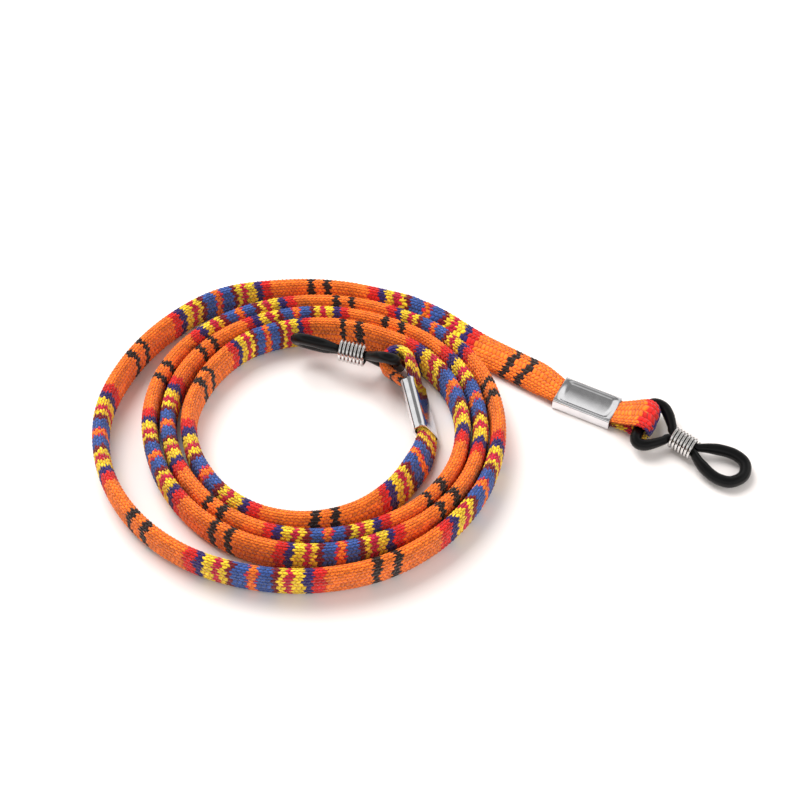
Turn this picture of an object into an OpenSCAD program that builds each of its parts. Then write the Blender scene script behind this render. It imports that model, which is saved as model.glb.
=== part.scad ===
// Eyeglass retainer strap: a flat woven tube, loosely wound on its edge in four turns,
// with a folded eye, a pressed metal crimp, a rubber temple loop and a wire slider at each end.

/* [Strap] */
// Width of the flat woven strap
strap_w = 6.5; // [5.5:0.1:6.8]
// Thickness of the strap
strap_t = 2.6; // [2.2:0.1:2.7]
// Lean of the outermost turn
first_lean = 9; // [0:1:12]
// Lean of the other turns
other_lean = 3; // [0:1:4]

/* [Crimps] */
// Length of a crimp along the strap
crimp_l = 10.5; // [9:0.1:11]
// Width of a crimp across the strap
crimp_w = 6.0; // [5.8:0.1:6.4]
// Height of a crimp
crimp_h = 2.6; // [2.5:0.1:3]
// Thickness of the crimp's sheet metal
crimp_wall = 0.35; // [0.3:0.05:0.4]
// Depth of the panel pressed into the crimp's top
panel_depth = 0.3; // [0.1:0.05:0.35]

/* [Temple loops] */
// Diameter of the rubber cord
rubber_d = 2.0; // [1.6:0.1:2.1]
// Half width of the outer temple loop, between cord centres
outer_loop_half = 3.2; // [2.8:0.1:3.6]
// Half width of the inner temple loop, between cord centres
inner_loop_half = 2.6; // [2.4:0.1:3.0]

/* [Sliders] */
// Outside diameter of a wire slider
slider_d = 4.0; // [3.9:0.1:4.2]
// Diameter of the slider's wire
wire_d = 0.5; // [0.4:0.05:0.55]
// Length of a slider
slider_l = 4.8; // [4:0.1:5]
// Turns of wire in a slider
slider_turns = 7; // [6:1:8]

/* [Hidden] */
$fn = 48;

// Centre of the wound turns, so that the whole object's box is centred on the origin
COIL = [-21.0, 0.2];

// Radius of the turns at every 30 degrees, one row for each turn, starting at 30 degrees
STATION = 30;
TURNS = [
    [38.0, 32.6, 31.5, 32.8, 32.4, 33.2, 33.0, 32.4, 32.0, 32.8, 33.4, 33.8],
    [32.6, 29.4, 27.4, 26.5, 26.0, 25.2, 24.8, 25.8, 27.4, 28.8, 30.5, 30.8],
    [29.6, 26.5, 24.5, 23.5, 22.8, 22.1, 21.8, 22.8, 24.4, 26.0, 27.6, 27.8],
    [26.6, 23.6, 21.6, 20.4, 18.9, 18.6, 18.6, 19.9, 21.3, 21.9, 21.7, 22.2]
];
RADII = [for (turn = TURNS, r = turn) r];
FIRST_ANGLE = 60;
LAST_ANGLE = 1420;
RING_STEP = 20;

// Straight lead from the outer crimp to the turns: x and y from the coil's centre, and roll,
// which is 0 where the strap lies flat and 90 where it stands on its edge
LEAD = [[45.1, 11.2, 0], [41.6, 13.9, 0], [38.1, 16.2, 0], [34.6, 18.4, 0], [31.0, 20.5, 4],
    [27.4, 22.6, 16], [23.8, 24.6, 36], [20.1, 26.4, 60]];
ROLL_UP = [78, 88];

// Crimps and sliders: middle from the coil's centre, heading, upward pitch and roll
OUTER_CRIMP = [[49.7, 8.8, crimp_h / 2], 154, 0, 0];
INNER_CRIMP = [[20.45, 3.8, 3.4], 103, 5, 120];
OUTER_SLIDER = [[65.5, -0.4, 2.17], -36, -4, 0];
INNER_SLIDER = [[8.35, 14.6, 5.75], 167, 3, 125];

// Route of a rubber loop, from its slider's middle: along the slider, then across it.
// Its base lies straight through the strap's folded eye, square to the eye's own heading.
NECK = 0.72;
OUTER_EYE_SIDE = [[-2.3, 0.72], [-3.5, 1.9], [-5.0, 3.4], [-6.4, 4.35], [-7.7, 4.4], [-8.55, 3.85],
    [-8.69, 2.91], [-8.2, 0.77], [-7.7, -1.37], [-7.21, -3.51], [-6.75, -4.75], [-5.9, -5.25],
    [-4.8, -4.7], [-3.9, -3.5], [-3.0, -1.9], [-2.3, -0.72]];
OUTER_BASE = [-7.95, -0.3];
OUTER_SKEW = 13;
OUTER_BEND = 0.08;
INNER_EYE_SIDE = [[-2.3, 0.72], [-3.5, 1.9], [-4.9, 3.4], [-6.2, 4.5], [-7.4, 4.7], [-8.15, 4.1],
    [-8.3, 3.25], [-8.3, 1.1], [-8.3, -1.1], [-8.3, -3.25], [-8.15, -4.1], [-7.4, -4.7],
    [-6.2, -4.5], [-4.9, -3.4], [-3.5, -1.9], [-2.3, -0.72]];
INNER_BASE = [-8.3, 0];
INNER_SKEW = 0;
INNER_BEND = 0;
LOBE = [[2.3, 0.25], [4.0, 0.58], [6.2, 0.9], [8.3, 1], [10.3, 0.76]];
LOBE_TIP = 11.3;
INNER_REACH = 0.88;
SWOLLEN = 2.6;

// The folded eye: thickness of one layer, gap round the rubber, and layers inside the crimp
LAYER_T = 1.15;
EYE_GAP = 0.2;
PINCHED_W = crimp_w - 2 * crimp_wall - 0.1;
PINCHED_T = crimp_h - 2 * crimp_wall - 0.1;
FOLD_R = rubber_d / 2 + EYE_GAP + LAYER_T / 2;
JOURNAL_L = 6.4;
SECTION_SIDES = 12;
RUBBER_SIDES = 10;
WIRE_SIDES = 6;
STEPS_PER_TURN = 18;

// ---- small vector tools ----
function unit(v) = v / norm(v);
function mix(a, b, t) = a + (b - a) * t;
function smooth(p0, p1, p2, p3, t) = 0.5 * (2 * p1 + (p2 - p0) * t
    + (2 * p0 - 5 * p1 + 4 * p2 - p3) * t * t + (3 * p1 - p0 - 3 * p2 + p3) * t * t * t);
function power(v, p) = sign(v) * pow(abs(v), p);

// Axes of a place [middle, heading, pitch, roll]: forward, across and through its thickness
function heading_of(place) = let (h = place[1], p = place[2])
    [cos(h) * cos(p), sin(h) * cos(p), sin(p)];
function across_of(place) = let (f = heading_of(place), o = unit(cross(f, [0, 0, 1])),
    u = cross(o, f)) -o * cos(place[3]) - u * sin(place[3]);
function through_of(place) = cross(heading_of(place), across_of(place));
function middle_of(place) = place[0] + [COIL[0], COIL[1], 0];
function at(place, p) = middle_of(place) + heading_of(place) * p[0] + across_of(place) * p[1]
    + through_of(place) * p[2];

// ---- the strap's route ----
function radius_at(angle) = let (s = (angle - STATION) / STATION, i = floor(s), n = len(RADII))
    smooth(RADII[max(i - 1, 0)], RADII[i], RADII[min(i + 1, n - 1)], RADII[min(i + 2, n - 1)], s - i);
function turn_roll(angle) = 90 + (angle < 360 ? first_lean : other_lean) * sin(angle);
function resting_z(roll) = max([for (p = section(strap_w, strap_t)) p[0] * sin(roll) - p[1] * cos(roll)]);

// Each stop is [centre, roll, width, thickness]
function laid(x, y, roll) = [[x + COIL[0], y + COIL[1], resting_z(roll)], roll, strap_w, strap_t];
function pinched(place, x, roll) = [at(place, [x, 0, 0]), roll, PINCHED_W, PINCHED_T];
STRAP_STOPS = concat(
    [pinched(OUTER_CRIMP, 0, 0), pinched(OUTER_CRIMP, crimp_l / 2, 0)],
    [for (i = [1 : len(LEAD) - 1]) laid(LEAD[i][0], LEAD[i][1], LEAD[i][2])],
    [for (a = [FIRST_ANGLE : RING_STEP : LAST_ANGLE])
        let (i = (a - FIRST_ANGLE) / RING_STEP, r = radius_at(a),
            roll = i < len(ROLL_UP) ? ROLL_UP[i] : turn_roll(a)
                + (INNER_CRIMP[3] - 90) * pow(max(0, 1 - (LAST_ANGLE - a) / 100), 2) * 0.7)
        laid(r * cos(a), r * sin(a), roll)],
    [pinched(INNER_CRIMP, -crimp_l / 2, INNER_CRIMP[3]), pinched(INNER_CRIMP, 0, INNER_CRIMP[3])]
);

// ---- swept solids ----
// Outline of a flat woven tube's section: across, then through
function section(w, t) = [for (k = [0 : SECTION_SIDES - 1]) let (a = k * 360 / SECTION_SIDES)
    [w / 2 * power(cos(a), 0.8), t / 2 * power(sin(a), 0.8)]];
function side_triangles(rings, sides, closed) = [
    for (i = [0 : rings - (closed ? 1 : 2)], j = [0 : sides - 1])
        let (a = i * sides + j, b = i * sides + (j + 1) % sides,
            c = (i + 1) % rings * sides + (j + 1) % sides, d = (i + 1) % rings * sides + j)
        each [[a, c, b], [a, d, c]]];
function end_caps(rings, sides) = [[for (j = [0 : sides - 1]) j],
    [for (j = [sides - 1 : -1 : 0]) (rings - 1) * sides + j]];

module sweep(rings, closed = false) {
    sides = len(rings[0]);
    polyhedron(points = [for (ring = rings, p = ring) p],
        faces = concat(side_triangles(len(rings), sides, closed),
            closed ? [] : end_caps(len(rings), sides)));
}

function strap_ring(stops, i) = let (n = len(stops) - 1, s = stops[i],
    t = unit(stops[min(i + 1, n)][0] - stops[max(i - 1, 0)][0]),
    o = unit(cross(t, [0, 0, 1])), u = cross(o, t),
    m = o * cos(s[1]) + u * sin(s[1]), k = cross(t, m))
    [for (p = section(s[2], s[3])) s[0] + m * p[0] + k * p[1]];

// A round cord along route points, with a diameter at each; across is the plane's own normal
function cord_ring(route, thick, normal, i) = let (n = len(route),
    t = unit(route[(i + 1) % n] - route[(i + n - 1) % n]), m = cross(normal, t))
    [for (j = [0 : RUBBER_SIDES - 1]) let (a = j * 360 / RUBBER_SIDES)
        route[i] + (m * cos(a) + normal * sin(a)) * thick[i] / 2];

// ---- the rubber loop's route ----
function lobe_half(i, half) = i == 0 ? NECK : LOBE[i][1] * half;
function lobe_point(x, y, reach, bend) = let (past = (x - LOBE[0][0]) * reach)
    [LOBE[0][0] + past, y + bend * past];
function loop_plan(eye_side, half, reach, bend) = let (n = len(LOBE) - 1) concat(
    [for (i = [n : -1 : 0]) lobe_point(LOBE[i][0], lobe_half(i, half), reach, bend)],
    eye_side,
    [for (i = [0 : n]) lobe_point(LOBE[i][0], -lobe_half(i, half), reach, bend)],
    [lobe_point(LOBE_TIP, 0, reach, bend)]);
function doubled(plan) = let (n = len(plan)) [for (i = [0 : n - 1], t = [0, 0.5])
    smooth(plan[(i + n - 1) % n], plan[i], plan[(i + 1) % n], plan[(i + 2) % n], t)];
// The cord is squeezed to a thinner strand where the slider grips it
function strand_d(x) = let (free = max(0, min(1, (abs(x) - slider_l / 2) / SWOLLEN)))
    mix(2 * NECK - 0.04, rubber_d, free);

// ---- the folded eye ----
// Axes of an eye: its middle, the way it points, along its hole, and through its layers
function hole_of(slider, skew) = across_of(slider) * cos(skew) - heading_of(slider) * sin(skew);
function eye_of(crimp, away, slider, base, skew) = let (
    c = at(slider, [base[0], base[1], 0]), m = hole_of(slider, skew),
    d = c - at(crimp, [away * crimp_l / 2, 0, 0]), out = unit(d - m * (d * m)))
    [c, out, m, cross(out, m)];
// Stops of one layer from the crimp's middle out to the fold, then back along the other side:
// [share of the way from crimp to fold, along, through, width, thickness]
EYE_LEG = [[0, 0.02, 0.47, PINCHED_W, 0.84], [0, 0.98, 0.47, PINCHED_W, 0.84],
    [0.5, 0, 1.05, 5.9, 1.0], [0.85, 0, 1.6, 6.3, 1.1]];
FOLD_ANGLES = [-90, -54, -18, 18, 54, 90];
function leg_ring(crimp, away, eye, stop, side) = let (
    near = at(crimp, [away * crimp_l / 2 * stop[1], 0, 0]),
    exit = at(crimp, [away * crimp_l / 2, 0, 0]),
    c = stop[0] == 0 ? near : mix(exit, eye[0], stop[0]),
    m = unit(mix(across_of(crimp) * away, eye[2], stop[0])),
    k = unit(mix(through_of(crimp), eye[3], stop[0])),
    z = k - m * (k * m), w = unit(z))
    [for (p = section(stop[3], stop[4])) c + w * side * stop[2] + m * p[0] + w * p[1]];
function fold_ring(eye, a) = let (out = eye[1] * cos(a) + eye[3] * sin(a))
    [for (p = section(strap_w - 0.1, LAYER_T)) eye[0] + out * (FOLD_R + p[1]) + eye[2] * p[0]];
function flipped(ring) = [for (j = [0 : len(ring) - 1]) ring[(2 * len(ring) - j) % len(ring)]];

module strap_eye(crimp, away, slider, base, skew) {
    eye = eye_of(crimp, away, slider, base, skew);
    sweep(concat(
        [for (s = EYE_LEG) leg_ring(crimp, away, eye, s, 1)],
        [for (a = FOLD_ANGLES) fold_ring(eye, -a)],
        [for (i = [len(EYE_LEG) - 1 : -1 : 0]) flipped(leg_ring(crimp, away, eye, EYE_LEG[i], -1))]));
}

// ---- metal parts ----
module placed(place) {
    translate(middle_of(place)) rotate([0, 0, place[1]]) rotate([0, -place[2], 0])
        rotate([-place[3], 0, 0]) children();
}

module rounded_plate(w, h, r) {
    square([w - 2 * r, h], center = true);
    square([w, h - 2 * r], center = true);
    for (x = [-1, 1], y = [-1, 1]) translate([x * (w / 2 - r), y * (h / 2 - r)]) circle(r);
}

// Section of the folded sheet: a flat sleeve whose two lips meet in a seam along one edge
module sleeve_section(dent) {
    corner = 0.9;
    seam = 0.12;
    panel_w = crimp_w - 2 * corner - 0.4;
    inner_w = crimp_w - 2 * crimp_wall;
    inner_h = crimp_h - 2 * crimp_wall;
    difference() {
        rounded_plate(crimp_w, crimp_h, corner);
        rounded_plate(inner_w, inner_h, corner - crimp_wall);
        translate([-crimp_w / 2, -seam / 2]) square([2 * crimp_wall, seam]);
        translate([-panel_w / 2, crimp_h / 2 - dent]) square([panel_w, dent + 1]);
    }
}

module crimp(place) {
    mouth = 1.3;
    pieces = [[-crimp_l / 2, mouth, 0], [-crimp_l / 2 + mouth, crimp_l - 2 * mouth, panel_depth * 0.6],
        [crimp_l / 2 - mouth, mouth, 0]];
    placed(place) for (p = pieces) translate([p[0], 0, 0]) rotate([90, 0, 90])
        linear_extrude(p[1]) sleeve_section(p[2]);
}

// A close-wound wire, one solid swept along its helix
module slider(place) {
    wire_r = (slider_d - wire_d) / 2;
    steps = slider_turns * STEPS_PER_TURN;
    pitch = (slider_l - wire_d) / steps;
    rings = [for (i = [0 : steps]) let (a = i * 360 / STEPS_PER_TURN,
        out = across_of(place) * cos(a) + through_of(place) * sin(a),
        centre = middle_of(place) + heading_of(place) * (i - steps / 2) * pitch + out * wire_r)
        [for (j = [0 : WIRE_SIDES - 1]) let (b = j * 360 / WIRE_SIDES)
            centre + (heading_of(place) * cos(b) + out * sin(b)) * wire_d / 2]];
    sweep(rings);
}

// Turns a cylinder's own axis from Z onto a direction
module along(v) {
    rotate([0, acos(v[2] / norm(v)), atan2(v[1], v[0])]) children();
}

// The swept cord is a little thinner in the eye, where a round bar is the hinge's journal
module rubber_loop(place, eye_side, half, reach, bend, base, skew) {
    plan = doubled(loop_plan(eye_side, half, reach, bend));
    route = [for (p = plan) at(place, [p[0], p[1], 0])];
    thick = [for (p = plan) strand_d(p[0])
        - (norm(p - base) < JOURNAL_L / 2 + 0.3 ? 0.2 : 0)];
    sweep([for (i = [0 : len(plan) - 1]) cord_ring(route, thick, through_of(place), i)], closed = true);
    translate(at(place, [base[0], base[1], 0])) along(hole_of(place, skew))
        cylinder(h = JOURNAL_L, d = rubber_d, center = true);
}

// ---- nodes ----
module woven_strap() {
    color("darkorange") sweep([for (i = [0 : len(STRAP_STOPS) - 1]) strap_ring(STRAP_STOPS, i)]);
}
module outer_strap_eye() {
    color("orangered") strap_eye(OUTER_CRIMP, -1, OUTER_SLIDER, OUTER_BASE, OUTER_SKEW);
}
module inner_strap_eye() {
    color("orangered") strap_eye(INNER_CRIMP, 1, INNER_SLIDER, INNER_BASE, INNER_SKEW);
}
module outer_crimp() { color("gainsboro") crimp(OUTER_CRIMP); }
module inner_crimp() { color("gainsboro") crimp(INNER_CRIMP); }
module outer_rubber_loop() {
    color("black") rubber_loop(OUTER_SLIDER, OUTER_EYE_SIDE, outer_loop_half, 1, OUTER_BEND,
        OUTER_BASE, OUTER_SKEW);
}
module inner_rubber_loop() {
    color("black") rubber_loop(INNER_SLIDER, INNER_EYE_SIDE, inner_loop_half, INNER_REACH, INNER_BEND,
        INNER_BASE, INNER_SKEW);
}
module outer_slider() { color("silver") slider(OUTER_SLIDER); }
module inner_slider() { color("silver") slider(INNER_SLIDER); }

woven_strap();
outer_strap_eye();
inner_strap_eye();
outer_crimp();
inner_crimp();
outer_rubber_loop();
inner_rubber_loop();
outer_slider();
inner_slider();
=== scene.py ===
# Eyeglass retainer strap: a braided strap wound on its edge, with a folded eye, a pressed crimp,
# a rubber temple loop and a wire slider at each end. Route values are in millimetres.
import math

import bmesh
import bpy
from mathutils import Matrix, Vector


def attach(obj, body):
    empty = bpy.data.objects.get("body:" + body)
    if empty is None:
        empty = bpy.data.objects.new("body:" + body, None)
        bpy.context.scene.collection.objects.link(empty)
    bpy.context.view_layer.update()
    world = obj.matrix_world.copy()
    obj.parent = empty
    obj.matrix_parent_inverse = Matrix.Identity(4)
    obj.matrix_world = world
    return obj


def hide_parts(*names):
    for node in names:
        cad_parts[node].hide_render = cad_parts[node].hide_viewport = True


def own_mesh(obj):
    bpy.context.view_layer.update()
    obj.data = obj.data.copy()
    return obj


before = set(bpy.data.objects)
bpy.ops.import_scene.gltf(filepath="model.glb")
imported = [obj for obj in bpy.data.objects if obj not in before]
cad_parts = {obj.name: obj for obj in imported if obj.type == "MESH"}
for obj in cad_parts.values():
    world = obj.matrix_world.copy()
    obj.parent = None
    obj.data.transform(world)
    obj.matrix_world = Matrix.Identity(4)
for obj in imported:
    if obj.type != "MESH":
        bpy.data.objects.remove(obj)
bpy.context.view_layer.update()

MM = 0.001
COIL = Vector((-21.0, 0.2, 0))
STRAP_W, STRAP_T = 6.5, 2.6
CRIMP_L, CRIMP_W, CRIMP_H, CRIMP_WALL = 10.5, 6.0, 2.6, 0.35
PINCHED_W, PINCHED_T = 5.2, 1.8

# Radius of the turns at every 30 degrees, one row for each turn, starting at 30 degrees
TURNS = [
    [38.0, 32.6, 31.5, 32.8, 32.4, 33.2, 33.0, 32.4, 32.0, 32.8, 33.4, 33.8],
    [32.6, 29.4, 27.4, 26.5, 26.0, 25.2, 24.8, 25.8, 27.4, 28.8, 30.5, 30.8],
    [29.6, 26.5, 24.5, 23.5, 22.8, 22.1, 21.8, 22.8, 24.4, 26.0, 27.6, 27.8],
    [26.6, 23.6, 21.6, 20.4, 18.9, 18.6, 18.6, 19.9, 21.3, 21.9, 21.7, 22.2],
]
RADII = [r for turn in TURNS for r in turn]
FIRST_ANGLE, LAST_ANGLE = 60, 1420
# From the outer crimp to the turns: x, y and how far the strap has rolled onto its edge
LEAD = [(41.6, 13.9, 0), (38.1, 16.2, 0), (34.6, 18.4, 0), (31.0, 20.5, 4), (27.4, 22.6, 16),
        (23.8, 24.6, 36), (20.1, 26.4, 60)]
# The roll at the first stops of the turns
ROLL_UP = [78, 88]
# Angles between the stops of the turns, and how far they lean from upright
STOP_STEP, FIRST_LEAN, OTHER_LEAN, LAST_LEAN = 20, 9, 3, 21


# ---- places: an origin and its forward, across and through directions ----
class Place:
    def __init__(self, middle, heading, pitch, roll):
        h, p, r = (math.radians(v) for v in (heading, pitch, roll))
        self.middle = Vector(middle) + COIL
        self.forward = Vector((math.cos(h) * math.cos(p), math.sin(h) * math.cos(p), math.sin(p)))
        out = self.forward.cross(Vector((0, 0, 1))).normalized()
        up = out.cross(self.forward)
        self.across = -out * math.cos(r) - up * math.sin(r)
        self.through = self.forward.cross(self.across)

    def at(self, x, y=0.0, z=0.0):
        return self.middle + self.forward * x + self.across * y + self.through * z

    def matrix(self):
        m = Matrix((self.forward, self.across, self.through)).transposed().to_4x4()
        m.translation = self.middle
        return m


OUTER_CRIMP = Place((49.7, 8.8, CRIMP_H / 2), 154, 0, 0)
INNER_CRIMP_ROLL = 120
INNER_CRIMP = Place((20.45, 3.8, 3.4), 103, 5, INNER_CRIMP_ROLL)
OUTER_SLIDER = Place((65.5, -0.4, 2.17), -36, -4, 0)
INNER_SLIDER = Place((8.35, 14.6, 5.75), 167, 3, 125)


def spline(p0, p1, p2, p3, t):
    return 0.5 * (2 * p1 + (p2 - p0) * t + (2 * p0 - 5 * p1 + 4 * p2 - p3) * t * t
                  + (3 * p1 - p0 - 3 * p2 + p3) * t * t * t)


def radius_at(angle):
    s = (angle - 30) / 30
    i = math.floor(s)
    last = len(RADII) - 1
    return spline(RADII[max(i - 1, 0)], RADII[i], RADII[min(i + 1, last)], RADII[min(i + 2, last)], s - i)


def turn_roll(angle):
    return 90 + (FIRST_LEAN if angle < 360 else OTHER_LEAN) * math.sin(math.radians(angle))


SQUARENESS = 0.8


def section(width, thick, sides):
    """Outline of the flat woven tube: across, then through."""
    def power(v):
        return math.copysign(abs(v) ** SQUARENESS, v)
    turns = [2 * math.pi * k / sides for k in range(sides)]
    return [(width / 2 * power(math.cos(a)), thick / 2 * power(math.sin(a))) for a in turns]


def resting_z(roll):
    r = math.radians(roll)
    return max(p[0] * math.sin(r) - p[1] * math.cos(r) for p in section(STRAP_W, STRAP_T, 12))


# ---- the camera ----
def aim_camera():
    data = bpy.data.cameras.new("camera")
    data.sensor_width = 36
    data.lens = 66.6
    data.clip_start = 0.01
    camera = bpy.data.objects.new("camera", data)
    bpy.context.scene.collection.objects.link(camera)
    target = COIL + Vector((17, 9, 0))
    down, tip = math.radians(48.8), math.radians(2)
    back = Vector((0, -math.cos(down), math.sin(down)))
    right, up = Vector((1, 0, 0)), Vector((0, math.sin(down), math.cos(down)))
    tipped_right = right * math.cos(tip) + up * math.sin(tip)
    tipped_up = up * math.cos(tip) - right * math.sin(tip)
    pose = Matrix((tipped_right, tipped_up, back)).transposed().to_4x4()
    pose.translation = (target + back * 259.6) * MM
    camera.matrix_world = pose
    bpy.context.scene.camera = camera


aim_camera()


# ---- meshes swept along a route ----
def new_piece(name, mesh_data, material, body, *nodes):
    piece = bpy.data.objects.new(name, mesh_data)
    bpy.context.scene.collection.objects.link(piece)
    piece.data.materials.append(material)
    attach(piece, body)
    if nodes:
        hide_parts(*nodes)
    return piece


def swept_mesh(name, rings, marks=None, chevron=0.0):
    """A closed tube through rings of points. Its UV map counts stitches along and round the tube, and
    marks go into an attribute that says where each ring is in the striped pattern. The stripes bend into
    a chevron by that many millimetres as they cross the narrow edges."""
    sides = len(rings[0])
    bm = bmesh.new()
    uv = bm.loops.layers.uv.new("stitches")
    pattern = bm.verts.layers.float.new("pattern")
    verts = [[bm.verts.new(p * MM) for p in ring] for ring in rings]
    if marks:
        for ring, mark in zip(verts, marks):
            for k, vert in enumerate(ring):
                vert[pattern] = mark + chevron * math.cos(math.tau * k / sides) ** 4
    for i in range(len(rings) - 1):
        for k in range(sides):
            j = (k + 1) % sides
            face = bm.faces.new((verts[i][k], verts[i + 1][k], verts[i + 1][j], verts[i][j]))
            face.smooth = True
            for loop, (a, b) in zip(face.loops, ((i, k), (i + 1, k), (i + 1, k + 1), (i, k + 1))):
                loop[uv].uv = (a / 2, b / 2)
    bm.faces.new(verts[0])
    bm.faces.new(list(reversed(verts[-1])))
    bmesh.ops.recalc_face_normals(bm, faces=bm.faces)
    mesh = bpy.data.meshes.new(name)
    bm.to_mesh(mesh)
    bm.free()
    return mesh


def resample(stops, step):
    """Stops are lists of [point, number, ...]. Returns them interpolated every step, with lengths."""
    fine = []
    for i in range(len(stops) - 1):
        near = [stops[max(i - 1, 0)], stops[i], stops[i + 1], stops[min(i + 2, len(stops) - 1)]]
        parts = max(1, round((near[2][0] - near[1][0]).length / step))
        for k in range(parts):
            fine.append([spline(*column, k / parts) for column in zip(*near)])
    fine.append(list(stops[-1]))
    lengths = [0.0]
    for a, b in zip(fine, fine[1:]):
        lengths.append(lengths[-1] + (b[0] - a[0]).length)
    return fine, lengths


# ---- the strap ----
# Length of a stitch, sides of the tubes (two to a row of stitches), how proud the stitches stand, and the
# thickness of the strap inside the crimps and in the mouth of the outer one
STITCH = 0.74
STRAP_SIDES, EYE_SIDES = 44, 32
STRAP_PUFF, EYE_PUFF = 0.09, 0.08
HIDDEN_T, OUTER_MOUTH_T = 0.8, 1.4
# How far the stripes lean as they cross the narrow edges
STRAP_CHEVRON, EYE_CHEVRON = -0.35, 0.5


def strap_stops():
    """Places, roll, width and thickness, from inside the outer crimp to inside the inner one."""
    stops = [[OUTER_CRIMP.at(0), 0, PINCHED_W, HIDDEN_T],
             [OUTER_CRIMP.at(3.4), 0, PINCHED_W, HIDDEN_T],
             [OUTER_CRIMP.at(CRIMP_L / 2 - 0.3), 0, PINCHED_W, OUTER_MOUTH_T]]
    for x, y, roll in LEAD:
        stops.append([COIL + Vector((x, y, resting_z(roll))), roll, STRAP_W, STRAP_T])
    for i, angle in enumerate(range(FIRST_ANGLE, LAST_ANGLE + 1, STOP_STEP)):
        lean = LAST_LEAN * max(0.0, 1 - (LAST_ANGLE - angle) / 100) ** 2
        roll = ROLL_UP[i] if i < len(ROLL_UP) else turn_roll(angle) + lean
        a, r = math.radians(angle), radius_at(angle)
        stops.append([COIL + Vector((r * math.cos(a), r * math.sin(a), resting_z(roll))), roll,
                      STRAP_W, STRAP_T])
    for x, thick in ((-CRIMP_L / 2 - 1.0, PINCHED_T + 0.15), (-CRIMP_L / 2 + 0.3, PINCHED_T),
                     (-3.4, HIDDEN_T), (0, HIDDEN_T)):
        stops.append([INNER_CRIMP.at(x), INNER_CRIMP_ROLL, PINCHED_W, thick])
    return stops


def knobbly(ring_index, k, puff):
    """Stitches stand a little proud, in a brick pattern: two rings and two sides to a stitch."""
    if k % 2 == 0:
        return -0.6 * puff
    return puff if (ring_index + (k - 1) // 2) % 2 else -0.5 * puff


def strap_ring(stop, ahead, ring_index, sides):
    """One ring of the strap, lifted if it would dip below the floor."""
    centre, roll, width, thick = stop
    out = ahead.cross(Vector((0, 0, 1))).normalized()
    up = out.cross(ahead)
    r = math.radians(roll)
    m = out * math.cos(r) + up * math.sin(r)
    k = ahead.cross(m)
    ring = []
    for n, (a, t) in enumerate(section(width, thick, sides)):
        side = m * a + k * t
        ring.append(centre + side + side.normalized() * knobbly(ring_index, n, STRAP_PUFF))
    lift = max(0.0, -min(point.z for point in ring))
    return [point + Vector((0, 0, lift)) for point in ring]


def ahead_of(fine, i):
    return (fine[min(i + 1, len(fine) - 1)][0] - fine[max(i - 1, 0)][0]).normalized()


# Where each pair of dark bars sits: on the lead, then at these angles round the turns
BAR_ANGLES = [86.5, 155, 224.5, 298, 372, 436, 520, 607, 685, 775, 858, 959, 1045, 1150, 1235, 1365]
REPEAT = 42.3


def pattern_marks(fine, lengths):
    """Turns length along the strap into a place in the pattern, pinned at each pair of dark bars."""
    angles, swept, before = [], 0.0, None
    for stop in fine:
        flat = stop[0] - COIL
        now = math.degrees(math.atan2(flat.y, flat.x))
        swept = now if before is None else swept + (now - before + 180) % 360 - 180
        before = now
        angles.append(swept)
    lead = min(range(len(fine) // 10), key=lambda i: (fine[i][0] - COIL - Vector((38.2, 16.2, 1.3))).length)
    pins = [(0.0, -lengths[lead]), (lengths[lead], 0.0)]
    for n, angle in enumerate(BAR_ANGLES):
        i = min(range(len(fine)), key=lambda j: abs(angles[j] - angle))
        pins.append((lengths[i], (n + 1) * REPEAT))
    pins.append((lengths[-1] - CRIMP_L / 2, len(BAR_ANGLES) * REPEAT + 28.5))
    pins.append((lengths[-1], len(BAR_ANGLES) * REPEAT + 33.0))
    marks = []
    for s in lengths:
        i = max(0, min(len(pins) - 2, sum(1 for p in pins if p[0] <= s) - 1))
        (s0, m0), (s1, m1) = pins[i], pins[i + 1]
        marks.append(m0 + (m1 - m0) * (s - s0) / (s1 - s0))
    return marks


def hex_colour(code):
    """sRGB hex to linear."""
    parts = [int(code[i:i + 2], 16) / 255 for i in (0, 2, 4)]
    return tuple(c / 12.92 if c <= 0.04045 else ((c + 0.055) / 1.055) ** 2.4 for c in parts) + (1.0,)


def add(tree, kind, inputs=None, **settings):
    """Adds a node with its settings, and links or values for its inputs."""
    node = tree.nodes.new(kind)
    for key, value in settings.items():
        setattr(node, key, value)
    for key, value in (inputs or {}).items():
        if isinstance(value, bpy.types.NodeSocket):
            tree.links.new(value, node.inputs[key])
        else:
            node.inputs[key].default_value = value
    return node


def new_material(name):
    material = bpy.data.materials.new(name)
    material.use_nodes = True
    tree = material.node_tree
    return material, tree, tree.nodes["Principled BSDF"]


def sums(tree, operation, a, b=0.0, c=0.0):
    return add(tree, "ShaderNodeMath", {0: a, 1: b, 2: c}, operation=operation).outputs[0]


# Widths of the stripes from the middle of a pair of dark bars to the middle of the blue group
ORANGE, YELLOW, CRIMSON, BLUE = "FF7D20", "FDD42E", "CC1E3E", "3C5CA6"
STRIPES = [(0.95, ORANGE), (1.35, "2A1A14"), (7.45, ORANGE), (1.9, "E0211C"), (1.45, "33246B"),
           (1.75, YELLOW), (1.1, CRIMSON), (1.1, YELLOW), (1.0, "7C1022"), (2.2, BLUE),
           (0.3, CRIMSON), (0.6, ORANGE)]


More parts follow.
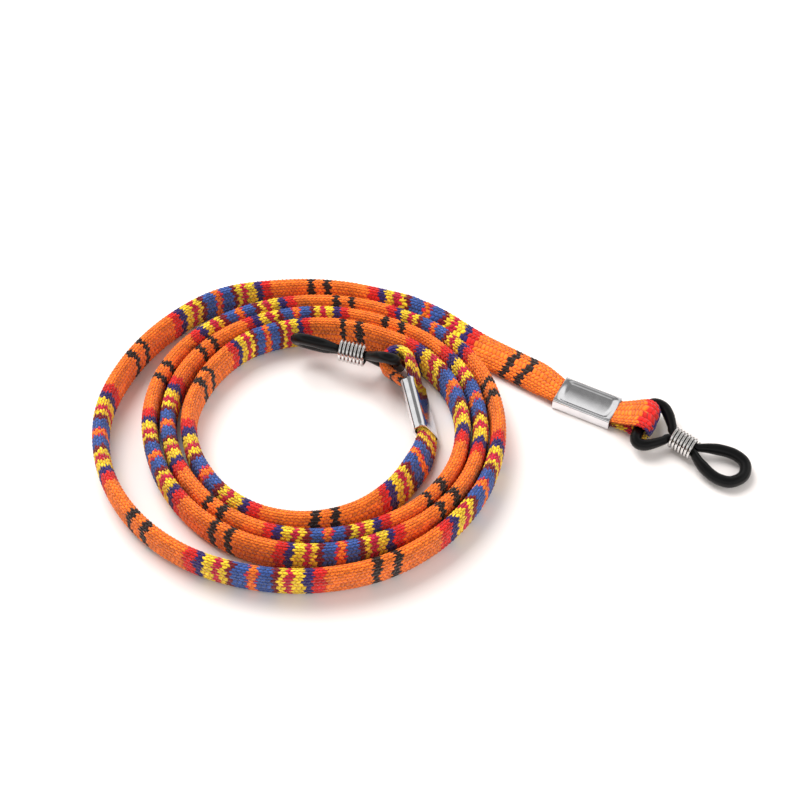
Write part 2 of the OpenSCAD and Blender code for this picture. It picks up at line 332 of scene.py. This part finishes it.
def braided_polyester():
    """Polyester yarn, round braided flat: matt plump stitches with painted shade in the gaps and a soft
    sheen.
    """
    material, tree, shader = new_material("braided_polyester")
    uv = add(tree, "ShaderNodeUVMap", uv_map="stitches").outputs[0]
    place = add(tree, "ShaderNodeSeparateXYZ", {0: uv})
    along, around = place.outputs[0], place.outputs[1]
    row = sums(tree, "FLOOR", around)
    in_row = sums(tree, "SUBTRACT", sums(tree, "SUBTRACT", around, row), 0.5)
    # Neighbouring rows are half a stitch apart, and their stitches slant opposite ways
    parity = sums(tree, "PINGPONG", row, 1.0)
    slant = sums(tree, "MULTIPLY", in_row, sums(tree, "MULTIPLY_ADD", parity, 0.64, -0.32))
    shifted = sums(tree, "ADD", sums(tree, "MULTIPLY_ADD", parity, 0.5, along), slant)
    stitch = sums(tree, "FLOOR", shifted)
    in_stitch = sums(tree, "SUBTRACT", sums(tree, "SUBTRACT", shifted, stitch), 0.5)
    name = add(tree, "ShaderNodeCombineXYZ", {0: stitch, 1: row}).outputs[0]
    chance = add(tree, "ShaderNodeTexWhiteNoise", {"Vector": name}, noise_dimensions="2D")
    # A stitch has one colour, the one at its middle, give or take a quarter of a stitch
    mark = add(tree, "ShaderNodeAttribute", attribute_name="pattern").outputs["Fac"]
    middle = sums(tree, "MULTIPLY_ADD", in_stitch, -STITCH, mark)
    astray = sums(tree, "MULTIPLY_ADD", chance.outputs["Value"], 0.4, -0.2)
    from_bars = sums(tree, "PINGPONG", sums(tree, "ADD", middle, astray), REPEAT / 2)
    stripes = add(tree, "ShaderNodeValToRGB", {0: sums(tree, "DIVIDE", from_bars, REPEAT / 2)})
    ramp = stripes.color_ramp
    ramp.interpolation = "CONSTANT"
    start = 0.0
    for i, (width, code) in enumerate(STRIPES):
        stop = ramp.elements[i] if i < 2 else ramp.elements.new(start / (REPEAT / 2))
        stop.position = start / (REPEAT / 2)
        stop.color = hex_colour(code)
        start += width
    # Each stitch is a plump dome, and the gaps between stitches get painted shade: their colour is multiplied
    # darker
    dome = sums(tree, "MULTIPLY_ADD", sums(tree, "POWER", sums(tree, "ABSOLUTE", in_stitch), 2.2), -3.6, 1.0)
    dome = sums(tree, "MULTIPLY_ADD", sums(tree, "POWER", sums(tree, "ABSOLUTE", in_row), 2.2), -3.2, dome)
    lightness = add(tree, "ShaderNodeMapRange", {"Value": chance.outputs["Value"], "To Min": 0.74,
                                                 "To Max": 1.2}).outputs[0]
    varied = add(tree, "ShaderNodeHueSaturation",
                 {"Color": stripes.outputs[0], "Value": lightness}).outputs[0]
    # Painted shade: where the dome dips into the gaps between stitches, the colour mixes towards a darker
    # multiplied tint
    shade_in_gaps = add(tree, "ShaderNodeMapRange", {"Value": dome, "From Min": -0.3, "From Max": 0.6}, clamp=True)
    gap_shade_colour = add(tree, "ShaderNodeMix", {0: 0.85, 6: varied, 7: hex_colour("D8582C")}, data_type="RGBA",
               blend_type="MULTIPLY").outputs[2]
    colour = add(tree, "ShaderNodeMix", {0: shade_in_gaps.outputs[0], 6: gap_shade_colour, 7: varied}, data_type="RGBA").outputs[2]
    spot = add(tree, "ShaderNodeTexCoord").outputs["Object"]
    fibres = add(tree, "ShaderNodeTexNoise", {"Vector": spot, "Scale": 5000.0, "Detail": 2.0}).outputs[0]
    height = sums(tree, "MULTIPLY_ADD", fibres, 0.4, dome)
    bump = add(tree, "ShaderNodeBump", {"Height": height, "Strength": 0.95, "Distance": 0.00032})
    tree.links.new(colour, shader.inputs["Base Color"])
    tree.links.new(bump.outputs[0], shader.inputs["Normal"])
    shader.inputs["Roughness"].default_value = 0.8
    shader.inputs["Sheen Weight"].default_value = 0.15
    shader.inputs["Sheen Roughness"].default_value = 0.5
    shader.inputs["Specular IOR Level"].default_value = 0.3
    return material


def rubber_cord_finish():
    """Extruded nitrile rubber: near black, smooth and a little oily, so it has long soft highlights."""
    material, tree, shader = new_material("extruded_rubber")
    spot = add(tree, "ShaderNodeTexCoord").outputs["Object"]
    cloud = add(tree, "ShaderNodeTexNoise", {"Vector": spot, "Scale": 900.0, "Detail": 3.0}).outputs[0]
    gloss = add(tree, "ShaderNodeMapRange", {"Value": cloud, "To Min": 0.22, "To Max": 0.4}).outputs[0]
    tone = add(tree, "ShaderNodeMix", {0: cloud, 6: hex_colour("020202"), 7: hex_colour("060607")},
               data_type="RGBA")
    bump = add(tree, "ShaderNodeBump", {"Height": cloud, "Strength": 0.15, "Distance": 0.0001})
    tree.links.new(tone.outputs[2], shader.inputs["Base Color"])
    tree.links.new(gloss, shader.inputs["Roughness"])
    tree.links.new(bump.outputs[0], shader.inputs["Normal"])
    shader.inputs["IOR"].default_value = 1.52
    shader.inputs["Specular IOR Level"].default_value = 0.22
    return material


def polished_metal(name, tint, smooth, rough, grain):
    """Sheet or wire polished after forming: sharp reflections, a little hazy in places."""
    material, tree, shader = new_material(name)
    spot = add(tree, "ShaderNodeTexCoord").outputs["Object"]
    lines = add(tree, "ShaderNodeTexNoise", {"Vector": spot, "Scale": grain, "Detail": 3.0}).outputs[0]
    haze = add(tree, "ShaderNodeMapRange", {"Value": lines, "To Min": smooth, "To Max": rough}).outputs[0]
    tone = add(tree, "ShaderNodeMix", {0: lines, 6: hex_colour(tint), 7: hex_colour("EDEDEF")},
               data_type="RGBA")
    bump = add(tree, "ShaderNodeBump", {"Height": lines, "Strength": 0.03, "Distance": 0.0001})
    tree.links.new(tone.outputs[2], shader.inputs["Base Color"])
    tree.links.new(haze, shader.inputs["Roughness"])
    tree.links.new(bump.outputs[0], shader.inputs["Normal"])
    shader.inputs["Metallic"].default_value = 1.0
    return material


BRAID = braided_polyester()
RUBBER = rubber_cord_finish()
CRIMP_STEEL = polished_metal("pressed_stainless_sheet", "CFCFD2", 0.07, 0.16, 600.0)
NICKEL_WIRE = polished_metal("nickel_plated_wire", "CAC6C0", 0.08, 0.18, 1500.0)


def make_strap():
    fine, lengths = resample(strap_stops(), STITCH / 2)
    rings = [strap_ring(stop, ahead_of(fine, i), i, STRAP_SIDES) for i, stop in enumerate(fine)]
    mesh = swept_mesh("braided_strap", rings, pattern_marks(fine, lengths), STRAP_CHEVRON)
    strap = new_piece("braided_strap", mesh, BRAID, "strap", "woven_strap")


# ---- the folded eyes ----
LAYER_T, EYE_GAP, RUBBER_D = 1.15, 0.2, 2.0
FOLD_R = RUBBER_D / 2 + EYE_GAP + LAYER_T / 2
# A leg's stops: share of the way from the crimp's mouth to the rubber, or 0 and a place inside the crimp,
# then distance from the middle plane, width and thickness
EYE_LEG = [(0, 0.02, 0.22, PINCHED_W, 0.4), (0, 0.7, 0.22, PINCHED_W, 0.4), (0, 0.98, 0.47, PINCHED_W, 0.84),
           (0.5, 0, 1.05, 5.9, 1.0), (0.85, 0, 1.6, 6.3, 1.1)]


def make_eye(name, node, crimp, away, slider, base, skew, marks_at, puff, under_shift):
    """A folded end: one layer out of the crimp, round the rubber, and back into the crimp. The loose braid
    puffs outwards by that much, and the lower layer sits a little sideways."""
    s = math.radians(skew)
    middle = slider.at(base[0], base[1])
    hole = slider.across * math.cos(s) - slider.forward * math.sin(s)
    way = middle - crimp.at(away * CRIMP_L / 2)
    out = (way - hole * way.dot(hole)).normalized()
    through = out.cross(hole)
    stops = []
    for side in (1, -1):
        leg = []
        for share, x, lift, width, thick in EYE_LEG:
            mouth = crimp.at(away * CRIMP_L / 2 * (x if share == 0 else 1))
            centre = mouth.lerp(middle, share)
            across = (crimp.across * away).lerp(hole, share).normalized()
            up = crimp.through.lerp(through, share)
            up = (up - across * up.dot(across)).normalized()
            loose = puff * min(1.0, share / 0.5)
            sideways = across * (under_shift * min(1.0, share / 0.5) if side == -1 else 0)
            leg.append([centre + up * side * (lift + loose / 2) + sideways, across, up * side,
                        width, thick + loose])
        fold = []
        for step in range(0, 5 if side == 1 else 4):
            a = math.radians(90 - 22.5 * step) * side
            spoke = out * math.cos(a) + through * math.sin(a)
            sideways = hole * under_shift * max(0.0, -math.sin(a))
            fold.append([middle + spoke * (FOLD_R + puff / 2) + sideways, hole, spoke,
                         STRAP_W - 0.1, LAYER_T + puff])
        stops += leg + fold if side == 1 else fold[::-1] + leg[::-1]
    fine, lengths = resample(stops, STITCH / 2)
    rings = []
    for i, (centre, across, up, width, thick) in enumerate(fine):
        ring = []
        for k, (a, t) in enumerate(section(width, thick, EYE_SIDES)):
            side = across * a + up * t
            ring.append(centre + side + side.normalized() * knobbly(i, k, EYE_PUFF))
        rings.append(ring)
    marks = []
    for s in lengths:
        part = s / lengths[-1] * (len(marks_at) - 1)
        i = min(len(marks_at) - 2, int(part))
        marks.append(marks_at[i] + (marks_at[i + 1] - marks_at[i]) * (part - i))
    eye = new_piece(name, swept_mesh(name, rings, marks, EYE_CHEVRON), BRAID, "strap", node)


# ---- rubber ----
# Half the distance between the two strands in a slider, the slider's length, and how far past the slider
# the squeezed rubber takes to swell to its full diameter
NECK, SLIDER_L, SWOLLEN = 0.72, 4.8, 2.6
STRAND_GAP = 0.04
# Centre line of the rubber through each eye: along the slider's axis, and across it
OUTER_EYE_SIDE = [(-2.3, 0.72), (-3.5, 1.9), (-5.0, 3.4), (-6.4, 4.35), (-7.7, 4.4), (-8.55, 3.85),
                  (-8.69, 2.91), (-8.2, 0.77), (-7.7, -1.37), (-7.21, -3.51), (-6.75, -4.75),
                  (-5.9, -5.25), (-4.8, -4.7), (-3.9, -3.5), (-3.0, -1.9), (-2.3, -0.72)]
INNER_EYE_SIDE = [(-2.3, 0.72), (-3.5, 1.9), (-4.9, 3.4), (-6.2, 4.5), (-7.4, 4.7), (-8.15, 4.1),
                  (-8.3, 3.25), (-8.3, 1.1), (-8.3, -1.1), (-8.3, -3.25), (-8.15, -4.1), (-7.4, -4.7),
                  (-6.2, -4.5), (-4.9, -3.4), (-3.5, -1.9), (-2.3, -0.72)]
# The temple lobe: distance along the slider's axis, and the share of the lobe's half width there
LOBE = [(2.3, 0.25), (4.0, 0.58), (6.2, 0.9), (8.3, 1.0), (10.3, 0.76)]
LOBE_TIP = 11.3
SEAM_X = 1.6
RUBBER_SIDES = 20


def lobe_point(x, y, reach, bend):
    past = (x - LOBE[0][0]) * reach
    return (LOBE[0][0] + past, y + bend * past)


def lobe_side(half, reach, bend, sign):
    return [lobe_point(x, sign * (NECK if i == 0 else share * half), reach, bend)
            for i, (x, share) in enumerate(LOBE)]


def rubber_rings(slider, plan):
    stops = [[slider.at(x, y), x] for x, y in plan]
    fine, _ = resample(stops, 0.3)
    rings = []
    for i, (centre, x) in enumerate(fine):
        free = max(0.0, min(1.0, (abs(x) - SLIDER_L / 2) / SWOLLEN))
        radius = (2 * NECK - STRAND_GAP) / 2 * (1 - free) + RUBBER_D / 2 * free
        ahead = ahead_of(fine, i)
        side = slider.through.cross(ahead).normalized()
        rings.append([centre + (side * math.cos(a) + slider.through * math.sin(a)) * radius
                      for a in (math.tau * k / RUBBER_SIDES for k in range(RUBBER_SIDES))])
    return rings


def make_rubber(end, slider, eye_side, half, reach, bend):
    """Two pieces that meet inside the slider: the part through the eye, and the lobe for the temple."""
    eye_plan = [(SEAM_X, NECK)] + eye_side + [(SEAM_X, -NECK)]
    lobe_plan = ([(SEAM_X, -NECK)] + lobe_side(half, reach, bend, -1) + [lobe_point(LOBE_TIP, 0, reach, bend)]
                 + lobe_side(half, reach, bend, 1)[::-1] + [(SEAM_X, NECK)])
    for name, plan in ((end + "_rubber_through_eye", eye_plan), (end + "_temple_lobe", lobe_plan)):
        piece = new_piece(name, swept_mesh(name, rubber_rings(slider, plan)), RUBBER, end + "_loop",
                          end + "_rubber_loop")
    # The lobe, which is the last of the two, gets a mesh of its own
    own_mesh(piece)


# ---- wire sliders ----
def make_slider(end, slider, length):
    """Close wound wire with rounded cut ends."""
    wire_d, coil_d, turns, steps, wire_sides = 0.5, 4.0, 7, 36, 10
    wire_r = (coil_d - wire_d) / 2
    total = turns * steps
    rings = []
    for i in range(-2, total + 3):
        a = math.tau * max(0, min(total, i)) / steps
        spoke = slider.across * math.cos(a) + slider.through * math.sin(a)
        tangent = slider.through * math.cos(a) - slider.across * math.sin(a)
        x = (max(0, min(total, i)) - total / 2) * (length - wire_d) / total
        past = max(0, -i, i - total)
        radius = wire_d / 2 * (1, 0.86, 0.4)[past]
        nudge = tangent * (0.1 * past) * (1 if i > 0 else -1)
        centre = slider.at(x) + spoke * wire_r + nudge
        rings.append([centre + (slider.forward * math.cos(b) + spoke * math.sin(b)) * radius
                      for b in (math.tau * k / wire_sides for k in range(wire_sides))])
    coil = new_piece(end + "_wire_coil", swept_mesh(end + "_wire_coil", rings), NICKEL_WIRE,
                     end + "_slide", end + "_slider")


# ---- pressed crimps ----
def make_crimp(end, crimp, width, top, corner, bulge, seam_side):
    """Sheet sleeve folded round the strap: rounded corners, flared mouths, a pressed panel and a seam. Its
    top can be pressed lower than the full height, and the narrow side without the seam can bulge."""
    bm = bmesh.new()
    bmesh.ops.create_cube(bm, size=1.0)
    bmesh.ops.scale(bm, vec=(CRIMP_L, width, CRIMP_H), verts=bm.verts)
    for v in bm.verts:
        v.co.z = min(v.co.z, top)
    long_edges = [e for e in bm.edges if abs((e.verts[0].co - e.verts[1].co).x) > 1]
    bmesh.ops.bevel(bm, geom=long_edges, offset=corner, segments=6, profile=0.5, affect="EDGES", material=-1)
    ends = [f for f in bm.faces if abs(f.normal.x) > 0.9]
    bmesh.ops.delete(bm, geom=ends, context="FACES")
    def cut(places, axis):
        for place in places:
            plane = tuple(v * place for v in axis)
            bmesh.ops.bisect_plane(bm, geom=bm.verts[:] + bm.edges[:] + bm.faces[:], plane_co=plane,
                                   plane_no=axis)
    # Rows of vertices where the panel, the flare and the bulge will bend the sheet
    cut((-5.0, -4.8, -4.6, -4.4, -4.2, -4.0, -3.8, -3.6, -3.2, -1.6, 0, 1.6, 3.2, 3.6, 3.8, 4.0, 4.2, 4.4,
         4.6, 4.8, 5.0), (1, 0, 0))
    flat = width / 2 - corner
    cut([side * flat * share for side in (-1, 1) for share in (0.2, 0.4, 0.6, 0.7, 0.76, 0.82, 0.88, 0.94)],
        (0, 1, 0))
    cut([0], (0, 1, 0))
    cut((-0.9, -0.6, -0.3, 0.3, 0.6, 0.9), (0, 0, 1))
    for v in bm.verts:
        curved = 5.3 - 0.09 * v.co.y * v.co.y
        in_x = max(0.0, min(1.0, (curved - abs(v.co.x)) / 1.3))
        in_y = max(0.0, min(1.0, (1 - abs(v.co.y) / flat) / 0.25))
        if v.co.z > top - 0.01:
            dish = 0.12 * (1 - (v.co.y / flat) ** 2)
            v.co.z -= (0.28 * in_y * in_y * (3 - 2 * in_y) + dish) * in_x * in_x * (3 - 2 * in_x)
        if v.co.y * seam_side < -flat:
            v.co.y -= seam_side * bulge * (1 - (v.co.z / top) ** 2)
        flare = max(0.0, (abs(v.co.x) - 4.4) / 0.85) ** 2
        v.co.y *= 1 + 0.015 * flare
        v.co.z *= 1 + 0.05 * flare
    # The two lips of the sheet meet in a shallow groove along one narrow side
    cut((-0.08, 0, 0.08), (0, 0, 1))
    for v in bm.verts:
        if v.co.y * seam_side > flat and abs(v.co.z) < 0.01:
            v.co.y -= 0.16 * seam_side
    bmesh.ops.remove_doubles(bm, verts=bm.verts, dist=0.001)
    bmesh.ops.recalc_face_normals(bm, faces=bm.faces)
    bmesh.ops.transform(bm, matrix=crimp.matrix(), verts=bm.verts)
    bmesh.ops.scale(bm, vec=(MM, MM, MM), verts=bm.verts)
    for f in bm.faces:
        f.smooth = True
    mesh = bpy.data.meshes.new(end + "_pressed_crimp")
    bm.to_mesh(mesh)
    bm.free()
    piece = new_piece(end + "_pressed_crimp", mesh, CRIMP_STEEL, "strap", end + "_crimp")
    wall = piece.modifiers.new("sheet", "SOLIDIFY")
    wall.thickness = CRIMP_WALL * MM
    wall.offset = -1
    rim = piece.modifiers.new("rim", "BEVEL")
    rim.width = 0.08 * MM
    rim.segments = 2
    rim.limit_method = "ANGLE"
    rim.angle_limit = math.radians(50)


# ---- floor, light and air ----
def lay_floor():
    bm = bmesh.new()
    bmesh.ops.create_grid(bm, x_segments=1, y_segments=1, size=2.0)
    mesh = bpy.data.meshes.new("floor")
    bm.to_mesh(mesh)
    bm.free()
    floor = bpy.data.objects.new("floor", mesh)
    bpy.context.scene.collection.objects.link(floor)
    material, tree, shader = new_material("matt_white_board")
    shader.inputs["Base Color"].default_value = hex_colour("E9E3E0")
    shader.inputs["Roughness"].default_value = 0.7
    mesh.materials.append(material)


def light(name, spot, aim, size, power):
    data = bpy.data.lights.new(name, "AREA")
    data.size = size
    data.energy = power
    lamp = bpy.data.objects.new(name, data)
    bpy.context.scene.collection.objects.link(lamp)
    lamp.location = spot
    lamp.visible_glossy = False
    lamp.rotation_euler = (Vector(aim) - Vector(spot)).to_track_quat("-Z", "Y").to_euler()


def light_studio():
    """A bright room with darker bands near the horizon and overhead, which give the metal something to
    mirror."""
    world = bpy.data.worlds.new("studio")
    bpy.context.scene.world = world
    world.use_nodes = True
    tree = world.node_tree
    sky = add(tree, "ShaderNodeTexCoord").outputs["Generated"]
    height = add(tree, "ShaderNodeSeparateXYZ", {0: sky}).outputs[2]
    band = add(tree, "ShaderNodeValToRGB", {0: sums(tree, "MULTIPLY_ADD", height, 0.5, 0.5)})
    stops = [(0.0, 0.8), (0.5, 0.3), (0.6, 0.12), (0.66, 1.3), (0.84, 1.35), (0.885, 0.35), (0.95, 0.3),
             (1.0, 0.9)]
    for i, (spot, grey) in enumerate(stops):
        element = band.color_ramp.elements[i] if i < 2 else band.color_ramp.elements.new(spot)
        element.position = spot
        element.color = (grey, grey * 0.99, grey * 0.975, 1)
    tree.links.new(band.outputs[0], tree.nodes["Background"].inputs["Color"])
    tree.nodes["Background"].inputs["Strength"].default_value = 0.8
    bpy.context.scene.view_settings.view_transform = "Standard"
    light("key", (-0.3, 0.3, 0.6), (0, 0, 0), 0.5, 7.0)
    light("fill", (0.5, -0.35, 0.5), (0, 0, 0), 0.45, 2.0)


make_strap()
make_eye("outer_folded_eye", "outer_strap_eye", OUTER_CRIMP, -1, OUTER_SLIDER, (-7.95, -0.3), 13,
         (-42.0, -36.6, -30.0, -26.0, -22.0), 0.1, 0.5)
make_eye("inner_folded_eye", "inner_strap_eye", INNER_CRIMP, 1, INNER_SLIDER, (-8.3, 0), 0,
         (-8.0, -0.8, 11.8, 17.0, 21.0), 0.8, 0.0)
make_crimp("outer", OUTER_CRIMP, 6.4, 1.0, 0.5, 0.0, -1)
make_crimp("inner", INNER_CRIMP, CRIMP_W, 1.3, 0.9, 0.3, 1)
make_rubber("outer", OUTER_SLIDER, OUTER_EYE_SIDE, 3.2, 1.0, 0.08)
make_rubber("inner", INNER_SLIDER, INNER_EYE_SIDE, 2.6, 0.88, 0.0)
make_slider("outer", OUTER_SLIDER, SLIDER_L)
make_slider("inner", INNER_SLIDER, SLIDER_L + 0.4)
lay_floor()
light_studio()
